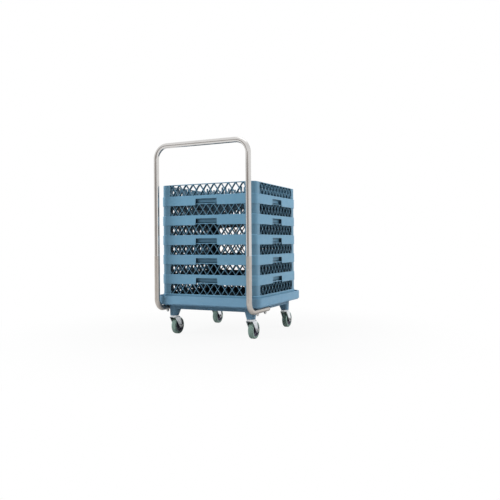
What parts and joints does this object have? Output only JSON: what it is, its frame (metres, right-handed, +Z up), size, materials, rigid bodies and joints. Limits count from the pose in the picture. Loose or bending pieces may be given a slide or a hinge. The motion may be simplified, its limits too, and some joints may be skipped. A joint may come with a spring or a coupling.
{
  "type": "basket trolley",
  "caption": "Wheeled plastic dolly with a bent steel tube push handle, carrying a stack of square lattice-walled dishwasher baskets.",
  "frame": {"origin": "on the floor, under the middle of the bounding box at rest", "axes": "+Z up, +X along the handle bar to the right of the person pushing, +Y away from that person, in the direction of travel"},
  "size_m": [0.54, 0.5835, 0.905],
  "materials": {
    "basket_plastic": "satin blue-grey moulded polypropylene",
    "deck_plastic": "fine-textured blue-grey moulded polyethylene",
    "polished_steel": "polished stainless steel tube",
    "satin_steel": "satin ground stainless steel tube",
    "zinc": "bright zinc-plated pressed steel",
    "hardware": "plain zinc-plated fastener steel",
    "wheel_plastic": "dark slate moulded polyamide",
    "tread_rubber": "grey-green solid rubber",
    "plug_plastic": "dark grey polyethylene plug"
  },
  "bodies": {
    "dolly": {"deck": "deck_plastic", "handle_bow": "polished_steel", "handle_leg_left": "satin_steel", "handle_leg_right": "satin_steel", "joint_sleeves": "hardware", "joint_screws": "hardware", "leg_plugs": "plug_plastic", "leg_bolts": "hardware", "leg_nuts": "hardware", "caster_stems": "hardware", "upper_races": "zinc", "race_balls": "hardware"},
    "caster_front_left": {"fork_front_left": "zinc", "lower_race_front_left": "zinc", "axle_bolt_front_left": "hardware", "axle_nut_front_left": "hardware", "axle_sleeve_front_left": "hardware"},
    "wheel_front_left": {"wheel_core_front_left": "wheel_plastic", "tyre_front_left": "tread_rubber"},
    "caster_front_right": {"fork_front_right": "zinc", "lower_race_front_right": "zinc", "axle_bolt_front_right": "hardware", "axle_nut_front_right": "hardware", "axle_sleeve_front_right": "hardware"},
    "wheel_front_right": {"wheel_core_front_right": "wheel_plastic", "tyre_front_right": "tread_rubber"},
    "caster_back_left": {"fork_back_left": "zinc", "lower_race_back_left": "zinc", "axle_bolt_back_left": "hardware", "axle_nut_back_left": "hardware", "axle_sleeve_back_left": "hardware"},
    "wheel_back_left": {"wheel_core_back_left": "wheel_plastic", "tyre_back_left": "tread_rubber"},
    "caster_back_right": {"fork_back_right": "zinc", "lower_race_back_right": "zinc", "axle_bolt_back_right": "hardware", "axle_nut_back_right": "hardware", "axle_sleeve_back_right": "hardware"},
    "wheel_back_right": {"wheel_core_back_right": "wheel_plastic", "tyre_back_right": "tread_rubber"},
    "basket_1": {"basket_1": "basket_plastic"},
    "basket_2": {"basket_2": "basket_plastic"},
    "basket_3": {"basket_3": "basket_plastic"},
    "basket_4": {"basket_4": "basket_plastic"},
    "basket_5": {"basket_5": "basket_plastic"},
    "basket_6": {"basket_6": "basket_plastic"}
  },
  "joints": [
    {"name": "swivel_front_left", "type": "hinge", "parent": "dolly", "child": "caster_front_left", "pos_m": [-0.204, -0.18425, 0.092], "axis": [0, 0, 1], "continuous": true},
    {"name": "roll_front_left", "type": "hinge", "parent": "caster_front_left", "child": "wheel_front_left", "pos_m": [-0.204, -0.15625, 0.04], "axis": [1, 0, 0], "continuous": true},
    {"name": "swivel_front_right", "type": "hinge", "parent": "dolly", "child": "caster_front_right", "pos_m": [0.204, -0.18425, 0.092], "axis": [0, 0, 1], "continuous": true},
    {"name": "roll_front_right", "type": "hinge", "parent": "caster_front_right", "child": "wheel_front_right", "pos_m": [0.204, -0.15625, 0.04], "axis": [1, 0, 0], "continuous": true},
    {"name": "swivel_back_left", "type": "hinge", "parent": "dolly", "child": "caster_back_left", "pos_m": [-0.204, 0.22375, 0.092], "axis": [0, 0, 1], "continuous": true},
    {"name": "roll_back_left", "type": "hinge", "parent": "caster_back_left", "child": "wheel_back_left", "pos_m": [-0.204, 0.25175, 0.04], "axis": [1, 0, 0], "continuous": true},
    {"name": "swivel_back_right", "type": "hinge", "parent": "dolly", "child": "caster_back_right", "pos_m": [0.204, 0.22375, 0.092], "axis": [0, 0, 1], "continuous": true},
    {"name": "roll_back_right", "type": "hinge", "parent": "caster_back_right", "child": "wheel_back_right", "pos_m": [0.204, 0.25175, 0.04], "axis": [1, 0, 0], "continuous": true},
    {"name": "lift_basket_1", "type": "slide", "parent": "dolly", "child": "basket_1", "axis": [0, 0, 1], "range_m": [0, 0.12]},
    {"name": "lift_basket_2", "type": "slide", "parent": "basket_1", "child": "basket_2", "axis": [0, 0, 1], "range_m": [0, 0.12]},
    {"name": "lift_basket_3", "type": "slide", "parent": "basket_2", "child": "basket_3", "axis": [0, 0, 1], "range_m": [0, 0.12]},
    {"name": "lift_basket_4", "type": "slide", "parent": "basket_3", "child": "basket_4", "axis": [0, 0, 1], "range_m": [0, 0.12]},
    {"name": "lift_basket_5", "type": "slide", "parent": "basket_4", "child": "basket_5", "axis": [0, 0, 1], "range_m": [0, 0.12]},
    {"name": "lift_basket_6", "type": "slide", "parent": "basket_5", "child": "basket_6", "axis": [0, 0, 1], "range_m": [0, 0.12]}
  ]
}
